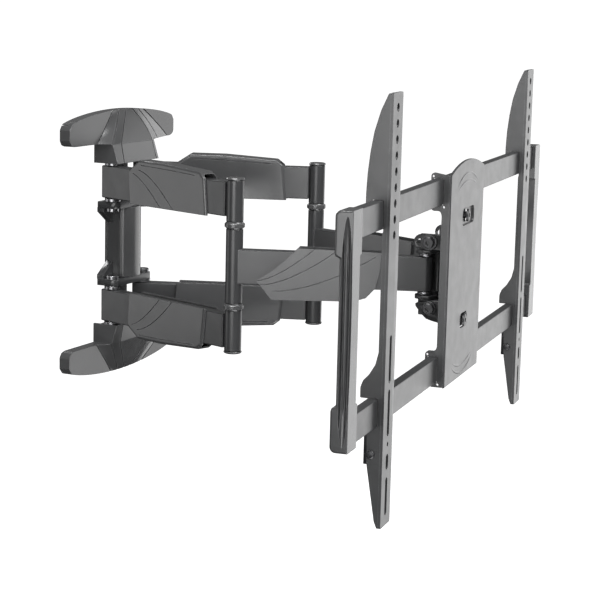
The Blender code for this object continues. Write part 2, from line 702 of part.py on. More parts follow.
def upright_side():
    """Side view of an upright's walls: a hook over the upper rail and a seat on the lower one."""
    rail_front = RAIL_Y[0] - GAP
    rail_back = RAIL_Y[1] + 2 * GAP
    upper_top = RAIL_Z + RAIL_H / 2 + GAP
    lower_top = -RAIL_Z + RAIL_H / 2 + GAP
    lower_low = -RAIL_Z - RAIL_H / 2 - GAP
    back = 25.0
    neck = 7.4
    hook = [(5.0, BRACKET_TOP), (12.4, 198.5), (18.5, 178.0), (21.8, 158.5), (24.0, 138.0),
            (back, 118.0), (back, upper_top - 9.0), (rail_back, upper_top - 9.0),
            (rail_back, upper_top), (rail_front, upper_top)]
    middle = [(rail_front, 82.0), (neck, 80.0), (neck, -37.0), (10.4, -49.5), (16.3, -59.5),
              (22.4, -66.0), (back, -73.0), (back, lower_top), (rail_front, lower_top),
              (rail_front, lower_low)]
    tail = [(16.8, lower_low), (16.2, -152.0), (7.2, -208.0), (4.3, -BRACKET_TOP)]
    return [(0.5, BRACKET_TOP - 0.2)] + hook + middle + tail + [(0.5, 0.2 - BRACKET_TOP)]


LATCH_SCREW = (12.5, -140.0)
LATCH_TRAVEL = 12.0


def build_upright(side, left_edge, frame):
    """A U-shaped channel that bolts to the screen and hooks on the rails."""
    middle = BRACKET_W / 2
    face = [(0.0, -BRACKET_TOP), (BRACKET_W, -BRACKET_TOP), (BRACKET_W, BRACKET_TOP),
            (0.0, BRACKET_TOP)]
    pitch = 15.5
    holes = [circle(middle, 201.0 - pitch * i, HOLE_R, 10) for i in range(9)]
    holes += [slot(middle, -70.5, -22.0, 3.6), slot(middle, -124.0, -76.5, 3.6),
              circle(middle, -132.0, 2.4, 8), slot(middle, -158.0, -142.0, 4.3),
              slot(middle, -205.0, -166.0, 3.6)]
    upright = add_piece("upright_" + side, plate([face] + holes, 0.0, BRACKET_T, "XZ"),
                        "painted_steel", frame, (left_edge, 0.0, 0.0))
    walls = [upright_side(), circle(LATCH_SCREW[0], LATCH_SCREW[1], 2.8)]
    for low in (0.15, BRACKET_W - BRACKET_T - 0.15):
        weld_on(upright, plate(walls, low, low + BRACKET_T, "YZ"))


def build_latch(side, frame):
    """A sliding plate inside the upright whose tooth closes the seat behind the lower rail."""
    tooth_in = RAIL_Y[1] + 2 * GAP
    rail_low = -RAIL_Z - RAIL_H / 2
    low_x = BRACKET_T + 0.15 + GAP
    outline = [(8.0, -151.0), (20.5, -151.0), (20.5, rail_low + 8.0), (tooth_in, rail_low + 8.0),
               (tooth_in, rail_low - 1.0), (8.0, rail_low - 1.0)]
    run = slot(LATCH_SCREW[0], LATCH_SCREW[1] - 3.1, LATCH_SCREW[1] + LATCH_TRAVEL + 3.1, 2.8)
    add_piece("latch_" + side, plate([outline, run], low_x, low_x + 3.0, "YZ"), "dark_fastener",
              frame)


def build_latch_screw(side, frame):
    inside = BRACKET_T + 0.15 + 2 * GAP + 3.0
    profile = [(0.0, 2.8), (3.5, 2.8), (4.6, 1.8), (4.6, GAP), (2.5, GAP), (2.5, -inside),
               (4.6, -inside), (4.6, -inside - 3.0), (0.0, -inside - 3.0)]
    turned_piece("latch_screw_" + side, profile, "dark_fastener", frame,
                 (0.15, LATCH_SCREW[0], LATCH_SCREW[1]), "-X")


def build_end_cap(side, sign, frame):
    """A C-shaped handle that closes the ends of both rails."""
    inner_x, outer_x = END_CAP_X
    front = 3.0
    top = 114.0
    block_low = 71.0
    back = 21.0
    grip_back = 15.5
    half = [(front, top)] + arc(back - 5.0, top - 5.0, 5.0, 90.0, 0.0, 4)
    half += [(back, block_low), (grip_back, block_low - 2.0)]
    outline = half + [(y, -z) for y, z in reversed(half)]
    edges = sorted((sign * inner_x, sign * outer_x))
    cap = add_piece("end_cap_" + side, plate([outline], edges[0], edges[1], "YZ"),
                    "moulded_plastic", frame)
    relief = sorted((sign * (inner_x - 5.0), sign * (inner_x + 5.5)))
    cut(cap, box((relief[0], 0.0, -block_low), (relief[1], 30.0, block_low)))
    pocket = sorted((sign * (inner_x - 5.0), sign * (RAIL_W + GAP)))
    for level in (-1, 1):
        middle = level * RAIL_Z
        half_h = RAIL_H / 2 + GAP
        cut(cap, box((pocket[0], RAIL_Y[0] - GAP, middle - half_h),
                     (pocket[1], RAIL_Y[1] + GAP, middle + half_h)))


# ---------------------------------------------------------------- assembly

def build_wall_side():
    build_wall_plate()
    build_column_cover()
    for level, sign in (("upper", 1), ("lower", -1)):
        build_pivot_bracket(level, sign)
        build_wall_cover(level, sign)
        for side, x in (("left", -PIVOT_X), ("right", PIVOT_X)):
            build_wall_pin("wall_pin_" + level + "_" + side, x, sign)


def build_arm_pair(side, mirror):
    """Both rear arms, the front arm and the elbow of one side; mirror is -1 left, +1 right."""
    lean = mirror * ARM_ANGLE
    rear = pivot("rear_pivot_" + side, mirror * PIVOT_X, WALL_PIVOT_Y, 0.0, -90.0 + lean)
    elbow = pivot("elbow_pivot_" + side, ARM_SPAN, 0.0, 0.0, -2.0 * lean, rear)
    for level, sign in (("upper", 1), ("lower", -1)):
        build_rear_arm(side, level, sign, rear)
        build_rear_cover(side, level, sign, rear)
    build_elbow(side, rear)
    build_front_arm(side, elbow)
    build_front_cover(side, elbow)


def build_head():
    reach = 2 * ARM_SPAN * math.cos(math.radians(ARM_ANGLE))
    wrist_y = WALL_PIVOT_Y - reach
    yoke_frame = pivot("yoke_frame", 0.0, wrist_y)
    build_yoke(yoke_frame)
    for side, x in (("left", -PIVOT_X), ("right", PIVOT_X)):
        build_wrist_pin(side, x, yoke_frame)

    swivel = pivot("swivel_axis", 0.0, wrist_y, 0.0, SWIVEL_ANGLE)
    profile = headed_pin(BLOCK_LOW + BLOCK_T + GAP, 8.0, 3.0)
    turned_piece("swivel_pin", profile, "zinc_steel", swivel, (0.0, 0.0, 0.0))
    build_swivel_block("upper", 1, LOCK_Y - WRIST_DEPTH, swivel)
    build_swivel_block("lower", -1, TILT_Y - WRIST_DEPTH, swivel)

    face = pivot("screen_face", 0.0, -WRIST_DEPTH, 0.0, 0.0, swivel)
    build_tilt_bracket(face)
    for side, sign in (("left", -1), ("right", 1)):
        build_side_bolt("tilt_bolt_" + side, sign, TILT_Y, -TILT_Z, 8.0, face)
        build_side_bolt("lock_bolt_" + side, sign, LOCK_Y, TILT_Z, 9.0, face)
    build_level_bolt("level_pivot_bolt", LEVEL_LOW, face)
    build_level_bolt("level_lock_bolt", LEVEL_HIGH, face)

    hung = pivot("hung_frame", 0.0, 0.0, HEAD_Z, 0.0, face)
    build_screen_plate(hung)
    for level, sign in (("upper", 1), ("lower", -1)):
        build_rail(level, sign, hung)
    for side, sign, left_edge in (("left", -1, BRACKET_X[0]), ("right", 1, BRACKET_X[1])):
        build_end_cap(side, sign, hung)
        build_upright(side, left_edge, hung)
        upright_frame = pivot("upright_frame_" + side, left_edge, 0.0, 0.0, 0.0, hung)
        build_latch(side, upright_frame)
        build_latch_screw(side, upright_frame)


def shade_round_pieces():
    for obj in PARTS.objects:
        if obj.type == "MESH":
            obj.data.shade_smooth()
            obj.data.set_sharp_from_angle(angle=math.radians(30.0))


build_wall_side()
build_arm_pair("left", -1)
build_arm_pair("right", 1)
build_head()
shade_round_pieces()
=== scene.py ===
"""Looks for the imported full-motion television bracket: detailed pieces, materials, light and camera.

Lengths below are millimetres and are turned into metres by mm(). Each arm and the screen side have
a frame of their own, worked out from the joints, in which their pieces are drawn.
"""

import json
import math

import bmesh
import bpy
from mathutils import Matrix, Vector


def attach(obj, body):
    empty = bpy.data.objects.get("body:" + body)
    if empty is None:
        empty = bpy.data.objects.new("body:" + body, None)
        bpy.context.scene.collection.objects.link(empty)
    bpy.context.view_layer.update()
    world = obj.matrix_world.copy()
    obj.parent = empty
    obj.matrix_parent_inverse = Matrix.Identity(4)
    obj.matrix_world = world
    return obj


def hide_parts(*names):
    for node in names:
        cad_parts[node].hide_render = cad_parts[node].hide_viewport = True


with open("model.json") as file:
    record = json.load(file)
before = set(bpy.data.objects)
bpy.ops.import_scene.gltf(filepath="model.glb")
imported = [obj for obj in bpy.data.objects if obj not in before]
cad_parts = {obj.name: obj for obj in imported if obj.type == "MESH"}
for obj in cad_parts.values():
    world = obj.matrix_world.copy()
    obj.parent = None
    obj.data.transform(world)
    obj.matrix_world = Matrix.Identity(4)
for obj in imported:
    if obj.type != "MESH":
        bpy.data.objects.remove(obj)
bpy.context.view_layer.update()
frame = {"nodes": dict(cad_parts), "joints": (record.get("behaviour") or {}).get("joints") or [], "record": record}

TINY = 0.00001
LEVELS = (("upper", 1), ("lower", -1))
ROUND = 40                            # sides of a post or a bolt
BEVEL_ANGLE = math.radians(28.0)      # only edges sharper than this are rounded
SMOOTH_ANGLE = math.radians(50.0)     # most pieces are shaded smooth up to this angle,
CRISP_ANGLE = math.radians(35.0)      # bolts, pins and CAD nodes up to this one,
RING_ANGLE = math.radians(25.0)       # and the elbows' rings and caps up to this one

# Sizes shared with the solids
ARM_SPAN = 215.0
ARM_H = 39.0
ARM_T = 16.0
REAR_Z = 75.0
COVER_T = 22.0
ARM_CLEAR = 0.3
WRIST_DEPTH = 30.0
HEAD_Z = -1.5
RAIL_HALF = 398.0
RAIL_Z = 98.0
RAIL_FRONT = 7.0
RAIL_BACK = 18.0
RAIL_HALF_H = 14.0
RAIL_WALL = 1.5
RAIL_CLEAR = 0.3


def mm(value):
    return value * 0.001


# ---------------------------------------------------------------- frames

def joint(name):
    return next(item for item in frame["joints"] if item["name"] == name)


def joint_point(name):
    return Vector(joint(name)["pos_m"])


def upright_frame(origin, along):
    """A frame whose +X runs level along a direction and whose +Z is up."""
    first = Vector(along).normalized()
    up = Vector((0.0, 0.0, 1.0))
    second = up.cross(first)
    place = Matrix((first, second, up)).transposed().to_4x4()
    place.translation = origin
    return place


def shifted(place, x=0.0, y=0.0, z=0.0):
    return place @ Matrix.Translation((mm(x), mm(y), mm(z)))


WALL = Matrix.Identity(4)
wrist_left = joint_point("wrist_left")
wrist_right = Vector((-wrist_left.x, wrist_left.y, 0.0))
ARM_POINTS = {
    "left": (joint_point("arm_fold"), joint_point("elbow_left"), wrist_left),
    "right": (joint_point("rear_right"), joint_point("elbow_right"), wrist_right),
}
REAR = {side: upright_frame(p[0], p[1] - p[0]) for side, p in ARM_POINTS.items()}
FRONT = {side: upright_frame(p[1], p[2] - p[1]) for side, p in ARM_POINTS.items()}
OUTER = {"left": -1, "right": 1}      # which way across an arm's frame faces outwards
SWIVEL = upright_frame(joint_point("swivel"), joint("tilt")["axis"])
FACE = shifted(SWIVEL, y=-WRIST_DEPTH)
HUNG = shifted(FACE, z=HEAD_Z)


# ---------------------------------------------------------------- shapes

def to_mesh(work, name="shape"):
    mesh = bpy.data.meshes.new(name)
    work.to_mesh(mesh)
    work.free()
    return mesh


def evaluated_mesh(obj):
    graph = bpy.context.evaluated_depsgraph_get()
    return bpy.data.meshes.new_from_object(obj.evaluated_get(graph))


def welded(mesh, matrix=None):
    work = bmesh.new()
    work.from_mesh(mesh)
    bpy.data.meshes.remove(mesh)
    bmesh.ops.remove_doubles(work, verts=work.verts, dist=TINY)
    bmesh.ops.dissolve_degenerate(work, edges=work.edges, dist=TINY)
    if matrix is not None:
        bmesh.ops.transform(work, matrix=matrix, verts=work.verts)
    bmesh.ops.recalc_face_normals(work, faces=work.faces)
    return to_mesh(work)


def curve_mesh(curve):
    holder = bpy.data.objects.new("outline", curve)
    bpy.context.scene.collection.objects.link(holder)
    mesh = evaluated_mesh(holder)
    bpy.data.objects.remove(holder)
    bpy.data.curves.remove(curve)
    return mesh


PLANES = {
    "XY": Matrix.Identity(4),
    "XZ": Matrix(((1, 0, 0, 0), (0, 0, -1, 0), (0, 1, 0, 0), (0, 0, 0, 1))),
    "YZ": Matrix(((0, 0, 1, 0), (1, 0, 0, 0), (0, 1, 0, 0), (0, 0, 0, 1))),
}


def plate(loops, low, high, plane):
    """A flat outline, with any holes as further loops, given thickness across its plane."""
    curve = bpy.data.curves.new("outline", "CURVE")
    curve.dimensions = "2D"
    curve.fill_mode = "BOTH"
    curve.extrude = mm(high - low) / 2
    for loop in loops:
        spline = curve.splines.new("POLY")
        spline.points.add(len(loop) - 1)
        for point, (first, second) in zip(spline.points, loop):
            point.co = (mm(first), mm(second), 0.0, 1.0)
        spline.use_cyclic_u = True
    offset = mm(low + high) / 2
    if plane == "XZ":
        offset = -offset
    mesh = welded(curve_mesh(curve), PLANES[plane] @ Matrix.Translation((0.0, 0.0, offset)))
    return flat_faces(mesh)


def flat_faces(mesh):
    """Joins the triangles of a flat fill into whole faces, so that its edges can be rounded."""
    work = bmesh.new()
    work.from_mesh(mesh)
    bpy.data.meshes.remove(mesh)
    bmesh.ops.dissolve_limit(work, angle_limit=math.radians(0.5), use_dissolve_boundaries=False,
                             verts=work.verts, edges=work.edges)
    return to_mesh(work)


def block(low, high):
    """A box between two corners."""
    work = bmesh.new()
    bmesh.ops.create_cube(work, size=1.0)
    size = [mm(high[i] - low[i]) for i in range(3)]
    middle = [mm(high[i] + low[i]) / 2 for i in range(3)]
    bmesh.ops.scale(work, vec=size, verts=work.verts)
    bmesh.ops.translate(work, vec=middle, verts=work.verts)
    return to_mesh(work)


def turned(profile, matrix=None, steps=ROUND):
    """A solid of revolution about Z from (radius, height) points."""
    work = bmesh.new()
    is_ring = profile[0] == profile[-1]
    points = profile[:-1] if is_ring else profile
    verts = [work.verts.new((mm(radius), 0.0, mm(height))) for radius, height in points]
    followers = verts[1:] + verts[:1] if is_ring else verts[1:]
    edges = [work.edges.new(pair) for pair in zip(verts, followers)]
    bmesh.ops.spin(work, geom=verts + edges, cent=(0, 0, 0), axis=(0, 0, 1), angle=2 * math.pi,
                   steps=steps, use_duplicate=False)
    return welded(to_mesh(work), matrix)


def tube(points, radius):
    """A rod along 3-D points with closed round ends, in millimetres."""
    curve = bpy.data.curves.new("rod", "CURVE")
    curve.dimensions = "3D"
    curve.bevel_depth = mm(radius)
    curve.bevel_resolution = 2
    curve.use_fill_caps = True
    spline = curve.splines.new("POLY")
    spline.points.add(len(points) - 1)
    for point, place in zip(spline.points, points):
        point.co = (*[mm(value) for value in place], 1.0)
    return welded(curve_mesh(curve))


def softened(mesh, radius, segments=2, pick=None):
    """The mesh with its sharp edges rounded; pick chooses edges from their two ends."""
    work = bmesh.new()
    work.from_mesh(mesh)
    bpy.data.meshes.remove(mesh)
    chosen = []
    for edge in work.edges:
        if not edge.is_manifold or edge.calc_face_angle(0.0) < BEVEL_ANGLE:
            continue
        ends = [vert.co * 1000.0 for vert in edge.verts]
        if pick is None or pick(*ends):
            chosen.append(edge)
    bmesh.ops.bevel(work, geom=chosen, offset=mm(radius), offset_type="OFFSET", segments=segments,
                    profile=0.5, affect="EDGES", clamp_overlap=True)
    return to_mesh(work)


def joined(meshes):
    work = bmesh.new()
    for mesh in meshes:
        work.from_mesh(mesh)
        bpy.data.meshes.remove(mesh)
    return to_mesh(work)


def combined(mesh, tools, operation="DIFFERENCE"):
    """The mesh after a Boolean with each tool in turn."""
    target = bpy.data.objects.new("target", mesh)
    bpy.context.scene.collection.objects.link(target)
    holders = []
    for tool in tools:
        holder = bpy.data.objects.new("tool", tool)
        bpy.context.scene.collection.objects.link(holder)
        modifier = target.modifiers.new("Boolean", "BOOLEAN")
        modifier.operation = operation
        modifier.solver = "MANIFOLD"
        modifier.object = holder
        holders.append(holder)
    result = evaluated_mesh(target)
    for holder in holders:
        bpy.data.objects.remove(holder)
    bpy.data.objects.remove(target)
    return result


def arc(x, y, radius, start, end, steps):
    angles = [math.radians(start + (end - start) * i / steps) for i in range(steps + 1)]
    return [(x + radius * math.cos(a), y + radius * math.sin(a)) for a in angles]


def circle(x, y, radius, steps=28):
    return arc(x, y, radius, 0.0, 360.0, steps)[:-1]


def long_slot(x, low, high, radius):
    return (arc(x, high - radius, radius, 0.0, 180.0, 10)
            + arc(x, low + radius, radius, 180.0, 360.0, 10))


def level_slot(low, high, z, radius):
    return (arc(high - radius, z, radius, -90.0, 90.0, 10)
            + arc(low + radius, z, radius, 90.0, 270.0, 10))


def rounded_rectangle(low, high, radius):
    return (arc(high[0] - radius, high[1] - radius, radius, 0.0, 90.0, 6)
            + arc(low[0] + radius, high[1] - radius, radius, 90.0, 180.0, 6)
            + arc(low[0] + radius, low[1] + radius, radius, 180.0, 270.0, 6)
            + arc(high[0] - radius, low[1] + radius, radius, 270.0, 360.0, 6))


def flipped(points, sign):
    """The outline upside down when sign is negative, in the same turning sense."""
    if sign > 0:
        return list(points)
    return [(first, -second) for first, second in reversed(points)]


def rounded_corners(points, radius, steps=5):
    """A closed outline with each corner replaced by a short curve."""
    result = []
    count = len(points)
    for i, corner in enumerate(points):
        here = Vector(corner)
        before = Vector(points[i - 1]) - here
        after = Vector(points[(i + 1) % count]) - here
        reach = min(radius, before.length * 0.45, after.length * 0.45)
        start = here + before.normalized() * reach
        end = here + after.normalized() * reach
        for step in range(steps + 1):
            t = step / steps
            spot = start * (1 - t) ** 2 + here * 2 * t * (1 - t) + end * t ** 2
            result.append((spot.x, spot.y))
    return result


# ---------------------------------------------------------------- materials

MOTTLE = 0.06                 # share by which the colour varies
GLOSS_SPREAD = 0.03           # and the roughness
CLOUD_SCALE = 30.0
GLOSS_SCALE = 60.0
WEAR_SCALE = 90.0
WEAR_WIDTH = 0.7
GRAIN_HEIGHT = 0.05


def link(tree, source, target):
    tree.links.new(source, target)


def value_range(tree, source, low, high, from_low=0.0, from_high=1.0):
    node = tree.nodes.new("ShaderNodeMapRange")
    node.inputs["From Min"].default_value = from_low
    node.inputs["From Max"].default_value = from_high
    node.inputs["To Min"].default_value = low
    node.inputs["To Max"].default_value = high
    link(tree, source, node.inputs["Value"])
    return node.outputs["Result"]


def noise(tree, coordinates, scale, detail):
    node = tree.nodes.new("ShaderNodeTexNoise")
    node.inputs["Scale"].default_value = scale
    node.inputs["Detail"].default_value = detail
    link(tree, coordinates, node.inputs["Vector"])
    return node.outputs["Fac"]


def edge_mask(tree, radius):
    """1 near an edge and 0 on a flat: how far the rounded normal leans from the real one."""
    rounded = tree.nodes.new("ShaderNodeBevel")
    rounded.samples = 4
    rounded.inputs["Radius"].default_value = radius
    geometry = tree.nodes.new("ShaderNodeNewGeometry")
    dot = tree.nodes.new("ShaderNodeVectorMath")
    dot.operation = "DOT_PRODUCT"
    link(tree, rounded.outputs["Normal"], dot.inputs[0])
    link(tree, geometry.outputs["Normal"], dot.inputs[1])
    return value_range(tree, dot.outputs["Value"], 1.0, 0.0, 0.90, 0.995)


def coat(name, colour, worn, roughness, metallic, grain, grain_depth):
    """A finish with fine grain, uneven gloss, faint mottling and rubbed edges."""
    material = bpy.data.materials.new(name)
    material.use_nodes = True
    tree = material.node_tree
    shader = tree.nodes["Principled BSDF"]
    shader.inputs["Metallic"].default_value = metallic
    place = tree.nodes.new("ShaderNodeTexCoord").outputs["Object"]

    clouds = noise(tree, place, CLOUD_SCALE, 3.0)
    shade = tree.nodes.new("ShaderNodeMix")
    shade.data_type = "RGBA"
    shade.inputs["A"].default_value = (*[c * (1 - MOTTLE) for c in colour], 1.0)
    shade.inputs["B"].default_value = (*[c * (1 + MOTTLE) for c in colour], 1.0)
    link(tree, clouds, shade.inputs["Factor"])

    edges = edge_mask(tree, mm(WEAR_WIDTH))
    rubbed = tree.nodes.new("ShaderNodeMath")
    rubbed.operation = "MULTIPLY"
    link(tree, edges, rubbed.inputs[0])
    patches = noise(tree, place, WEAR_SCALE, 4.0)
    link(tree, value_range(tree, patches, 0.25, 1.0, 0.35, 0.65), rubbed.inputs[1])
    wear = tree.nodes.new("ShaderNodeMix")
    wear.data_type = "RGBA"
    link(tree, rubbed.outputs["Value"], wear.inputs["Factor"])
    link(tree, shade.outputs["Result"], wear.inputs["A"])
    wear.inputs["B"].default_value = (*worn, 1.0)
    link(tree, wear.outputs["Result"], shader.inputs["Base Color"])

    fine = noise(tree, place, grain, 2.0)
    smears = noise(tree, place, GLOSS_SCALE, 5.0)
    link(tree, value_range(tree, smears, roughness - GLOSS_SPREAD, roughness + GLOSS_SPREAD,
                           0.3, 0.7), shader.inputs["Roughness"])
    bump = tree.nodes.new("ShaderNodeBump")
    bump.inputs["Strength"].default_value = grain_depth
    bump.inputs["Distance"].default_value = mm(GRAIN_HEIGHT)
    link(tree, fine, bump.inputs["Height"])
    link(tree, bump.outputs["Normal"], shader.inputs["Normal"])
    return material


# The finish of each slot: colour, colour of rubbed edges, roughness, metallic, grain size and depth
FINISH = {
    "painted_steel": coat("powder_coat", (0.028, 0.0285, 0.0295), (0.11, 0.11, 0.115), 0.31, 0.0,
                          1500.0, 0.35),
    "moulded_plastic": coat("grained_plastic", (0.048, 0.0485, 0.0495), (0.15, 0.15, 0.155), 0.22,
                            0.0, 2200.0, 0.25),
    "zinc_steel": coat("zinc_plate", (0.26, 0.26, 0.27), (0.50, 0.50, 0.50), 0.30, 1.0, 900.0,
                       0.15),
    "dark_fastener": coat("black_oxide", (0.022, 0.022, 0.024), (0.10, 0.10, 0.10), 0.34, 0.3,
                          1200.0, 0.2),
}
SLOT_OF = {row["node"]: row["material_slot"] for row in frame["record"]["subparts"]}
BODY_OF = {node: body for body, nodes in frame["record"]["behaviour"]["bodies"].items()
           for node in nodes}


def show(node, mesh, place, sharp_from=SMOOTH_ANGLE):
    """Puts a detailed piece in the place of one CAD node."""
    mesh.transform(place)
    mesh.materials.clear()
    mesh.materials.append(FINISH[SLOT_OF[node]])
    for face in mesh.polygons:
        face.material_index = 0
    mesh.shade_smooth()
    mesh.set_sharp_from_angle(angle=sharp_from)
    piece = bpy.data.objects.new(node + "_look", mesh)
    bpy.context.scene.collection.objects.link(piece)
    normals = piece.modifiers.new("Normals", "WEIGHTED_NORMAL")
    normals.keep_sharp = True
    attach(piece, BODY_OF[node])
    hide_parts(node)
    return piece


def finish_cad_nodes():
    """Nodes whose shape is right stay, with rounded edges and the same finishes."""
    edge_r = 0.5
    for node, obj in frame["nodes"].items():
        finish = FINISH[SLOT_OF[node]]
        for slot in obj.material_slots:
            slot.material = finish
        if obj.hide_render:
            continue
        weld = obj.modifiers.new("Weld", "WELD")
        weld.merge_threshold = TINY
        edge = obj.modifiers.new("Edges", "BEVEL")
        edge.width = mm(edge_r)
        edge.segments = 2
        edge.limit_method = "ANGLE"
        edge.angle_limit = CRISP_ANGLE
        edge.harden_normals = True
        obj.data.shade_smooth()


# ---------------------------------------------------------------- wall side

COVER_HALF = 120.5
COVER_LOW = 121.0
BLOCK_LEFT = -47.0
BLOCK_RIGHT = 50.0
BLOCK_LOW = 97.5
WING_Y = -15.0
FOOT_REACH = 20.0             # how far forward the block's foot stands from the wings
REACH_POWER = 0.95            # how a crease comes forward between the top and the lower edge

# Creases of the cover's fan: x at the arched top, x at the wings' lower edge, how far forward it
# stands there, and how much it bows sideways
CREASES = (
    (-27.0, -61.0, 0.0, 0.0),
    (-12.0, BLOCK_LEFT, 13.0, 0.0),
    (3.0, -30.0, 14.5, 0.0),
    (17.0, 42.0, 14.5, 6.0),
    (32.0, 66.0, 8.5, 4.0),
    (44.0, 104.0, 0.0, 5.0),
)
# The block under the fan: x, and how far forward it stands at its top
BLOCK_LINES = ((BLOCK_LEFT, 13.0), (-30.0, 14.5), (42.0, 14.5), (BLOCK_RIGHT, 12.6))
SEAM_R = 1.2
SEAM_SUNK = 0.7               # how far a seam's middle lies under the surface


def cover_top(x):
    """Height of the wall cover's arched top edge."""
    across = abs(x) / COVER_HALF
    return 160.0 - 12.0 * across ** 2 - 2.0 * across ** 8


def crease_x(crease, down):
    """Where a crease is across the cover; down is 0 at the arched top and 1 at the lower edge."""
    top, bottom, _, bow = crease
    return top + (bottom - top) * down + bow * 4.0 * down * (1.0 - down)


def crease_reach(crease, down):
    return crease[2] * down ** REACH_POWER


def wing_low(x):
    """The wing's lower edge, rounded up at its two ends."""
    inset = max(0.0, abs(x) - (COVER_HALF - 12.0)) / 12.0
    return COVER_LOW + 7.0 * (1.0 - math.sqrt(max(0.0, 1.0 - inset ** 2)))


def wing_high(x):
    inset = max(0.0, abs(x) - (COVER_HALF - 7.0)) / 7.0
    return cover_top(x) - 5.0 * (1.0 - math.sqrt(max(0.0, 1.0 - inset ** 2)))


def closed_sheet(front, back_y):
    """A closed block from a grid of front points, (x, y, z), with a flat back at y = back_y."""
    work = bmesh.new()
    grids = []
    for flat in (False, True):
        grids.append([[work.verts.new((mm(x), mm(back_y if flat else y), mm(z))) for x, y, z in row]
                      for row in front])
    columns = len(front) - 1
    rows = len(front[0]) - 1
    for grid in grids:
        for i in range(columns):
            for j in range(rows):
                work.faces.new((grid[i][j], grid[i + 1][j], grid[i + 1][j + 1], grid[i][j + 1]))
    rim = [(i, 0) for i in range(columns)] + [(columns, j) for j in range(rows)]
    rim += [(columns - i, rows) for i in range(columns)] + [(0, rows - j) for j in range(rows)]
    near, far = grids
    for (column, row), (next_column, next_row) in zip(rim, rim[1:] + rim[:1]):
        work.faces.new((near[column][row], near[next_column][next_row],
                        far[next_column][next_row], far[column][row]))
    bmesh.ops.recalc_face_normals(work, faces=work.faces)
    return to_mesh(work)


def wing_sheet(sign):
    """The cover's wings and fan, with columns of faces that follow the creases."""
    ends = ((-COVER_HALF, -COVER_HALF, 0.0, 0.0), (COVER_HALF, COVER_HALF, 0.0, 0.0))
    lines = (ends[0],) + CREASES + (ends[1],)
    spans = (18, 6, 3, 12, 4, 6, 18)
    rows = 16
    front = []
    for number, count in enumerate(spans):
        last = number == len(spans) - 1
        for i in range(count + 1 if last else count):
            share = i / count
            column = []
            for j in range(rows + 1):
                down = j / rows
                left, right = lines[number], lines[number + 1]
                x = crease_x(left, down) * (1 - share) + crease_x(right, down) * share
                reach = crease_reach(left, down) * (1 - share) + crease_reach(right, down) * share
                z = wing_high(x) + (wing_low(x) - wing_high(x)) * down
                column.append((x, WING_Y - reach, sign * z))
            front.append(column)
    return closed_sheet(front, -1.0)


def block_sheet(sign):
    """The block under the fan, whose top edge is sunk into the fan."""
    front = []
    for x, reach in BLOCK_LINES:
        front.append([(x, WING_Y - FOOT_REACH, sign * BLOCK_LOW),
                      (x, WING_Y - reach, sign * COVER_LOW),
                      (x, WING_Y - reach + 6.0, sign * (COVER_LOW + 5.0))])
    return closed_sheet(front, -1.4)


def crease_seam(crease, sign):
    """A thin cutter that lies along a crease and runs a little past both its ends."""
    steps = 22
    points = []
    for i in range(steps + 1):
        down = 1.06 * i / steps - 0.03
        x = crease_x(crease, down)
        z = cover_top(x) + (COVER_LOW - cover_top(x)) * down
        points.append((x, WING_Y - crease_reach(crease, max(down, 0.0)) + SEAM_SUNK, sign * z))
    return tube(points, SEAM_R)


def block_seam(line, sign):
    """The same on the block, from the fan to the block's foot."""
    x, reach = line
    top = (x, WING_Y - reach + SEAM_SUNK, sign * (COVER_LOW + 0.5))
    foot = (x * 1.06, WING_Y - FOOT_REACH + SEAM_SUNK - 0.1, sign * (BLOCK_LOW - 1.0))
    return tube([top, foot], SEAM_R)


def on_wing_rim(point):
    """True on the cover's outline, but not where the block carries on below the fan."""
    near = 0.2
    height = abs(point.z)
    beside_block = point.x < BLOCK_LEFT or point.x > BLOCK_RIGHT
    low = height < wing_low(point.x) + near and beside_block
    return low or height > wing_high(point.x) - near or abs(point.x) > COVER_HALF - near


def wing_rim(first, second):
    """Picks the edges round the cover's front."""
    return on_wing_rim(first) and on_wing_rim(second) and max(first.y, second.y) < -5.0


def show_wall_cover(level, sign):
    """A hollow cover; its rooms clear the plate, the bracket's shelf and the heads of the pins."""
    wings = softened(wing_sheet(sign), 1.0, 3, wing_rim)
    shell = combined(wings, [softened(block_sheet(sign), 0.6, 2)], "UNION")
    hollow = block((BLOCK_LEFT + 3.0, -12.0, 90.0), (BLOCK_RIGHT - 3.0, 4.0, 150.0))
    shelf_room = block((-43.4, -32.0, 89.0), (43.4, 5.0, 104.2))
    head_room = block((-44.5, -29.4, 88.0), (44.5, 6.0, 109.0))
    wing_room = block((-COVER_HALF + 4.0, -11.0, 123.5), (COVER_HALF - 4.0, 7.0, 146.5))
    rooms = [hollow, shelf_room, head_room, wing_room]
    if sign < 0:
        for room in rooms:
            room.transform(Matrix.Diagonal((1.0, 1.0, -1.0, 1.0)))
            room.flip_normals()
    cutters = rooms + [crease_seam(crease, sign) for crease in CREASES]
    cutters += [block_seam(line, sign) for line in BLOCK_LINES[1:3]]
    show("wall_cover_" + level, combined(shell, cutters), WALL)


def show_column():
    """A D-shaped column with a flat side and a narrow rib where the side meets the curve."""
    half_height = 42.6
    back = -3.5
    rib = 0.7
    width = 20.0
    side = -24.0
    front = -34.0
    steps = 40
    angles = [math.pi + math.pi * i / steps for i in range(steps + 1)]
    curve = [(width * math.cos(a), side + (side - front) * math.sin(a)) for a in angles]
    outline = [(-width, back), (-width, side + 3.0), (-width - rib, side + 2.6),
               (-width - rib, side + 0.6)] + curve
    outline += [(width + rib, side + 0.6), (width + rib, side + 2.6), (width, side + 3.0),
                (width, back)]
    column = softened(plate([outline], -half_height, half_height, "XY"), 0.6)
    show("column_cover", column, WALL)


